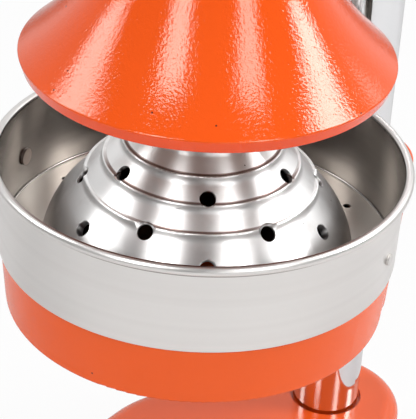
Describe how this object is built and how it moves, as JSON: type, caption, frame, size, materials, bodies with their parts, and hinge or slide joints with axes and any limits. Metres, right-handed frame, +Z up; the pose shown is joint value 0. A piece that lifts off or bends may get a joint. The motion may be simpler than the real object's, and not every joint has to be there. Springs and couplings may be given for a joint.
{
  "type": "manual citrus juicer",
  "caption": "Lever citrus press: a rack ram drives an orange bell over a stepped cone in a steel bowl, on a chrome column and rounded base",
  "frame": {"origin": "the middle of the press's footprint, on the table plane under the rubber feet", "axes": "+Z up, +Y from the press axis to the column at the back, +X to the user's right, the lever's side"},
  "size_m": [0.1842, 0.257, 0.75],
  "materials": {
    "orange_paint": "glossy orange powder coat with slight orange peel",
    "column_chrome": "polished chrome",
    "bowl_steel": "satin stainless sheet",
    "turned_aluminium": "lathe-turned, bright",
    "machined_steel": "machined and lightly oiled",
    "zinc_fasteners": "zinc plated",
    "bush_bronze": "plain bearing bronze",
    "black_rubber": "moulded rubber",
    "black_plastic": "moulded, fine satin"
  },
  "bodies": {
    "stand": {"base_casting": "orange_paint", "rubber_feet": "black_rubber", "foot_screws": "zinc_fasteners", "column": "column_chrome", "column_bolt": "zinc_fasteners", "column_washer": "zinc_fasteners", "column_cap": "black_plastic", "bowl_casting": "orange_paint", "bowl_grub_screws": "zinc_fasteners", "steel_bowl": "bowl_steel", "bowl_rivets": "bowl_steel", "press_cone": "turned_aluminium", "juice_spout": "turned_aluminium", "spout_gasket": "black_rubber", "head_casting": "orange_paint", "head_grub_screws": "zinc_fasteners", "gear_cover": "orange_paint", "gear_cover_screws": "zinc_fasteners", "lower_guide_bush": "bush_bronze", "upper_guide_bush": "bush_bronze", "left_shaft_bush": "bush_bronze", "right_shaft_bush": "bush_bronze"},
    "lever": {"pinion_gear": "machined_steel", "pinion_shaft": "machined_steel", "pinion_key": "machined_steel", "shaft_washer": "zinc_fasteners", "shaft_clip": "zinc_fasteners", "lever_hub": "machined_steel", "lever_arm": "column_chrome", "lever_pin": "zinc_fasteners", "lever_grip": "black_plastic", "grip_ferrule": "column_chrome", "lever_set_screw": "zinc_fasteners", "hub_washer": "zinc_fasteners", "hub_nut": "zinc_fasteners"},
    "ram": {"ram_rack": "machined_steel", "press_bell": "orange_paint", "bell_washer": "zinc_fasteners", "bell_nut": "zinc_fasteners", "stop_collar": "machined_steel", "stop_collar_screw": "zinc_fasteners"}
  },
  "joints": [
    {"name": "lever_swing", "type": "hinge", "parent": "stand", "child": "lever", "pos_m": [0, 0.00655, 0.453], "axis": [1, 0, 0], "range_deg": [-45, 109]},
    {"name": "ram_press", "type": "slide", "parent": "stand", "child": "ram", "axis": [0, 0, -1], "range_m": [-0.028, 0.067]}
  ],
  "couplings": [
    {"joint": "ram_press", "follows": "lever_swing", "m_per_rad": 0.035}
  ]
}
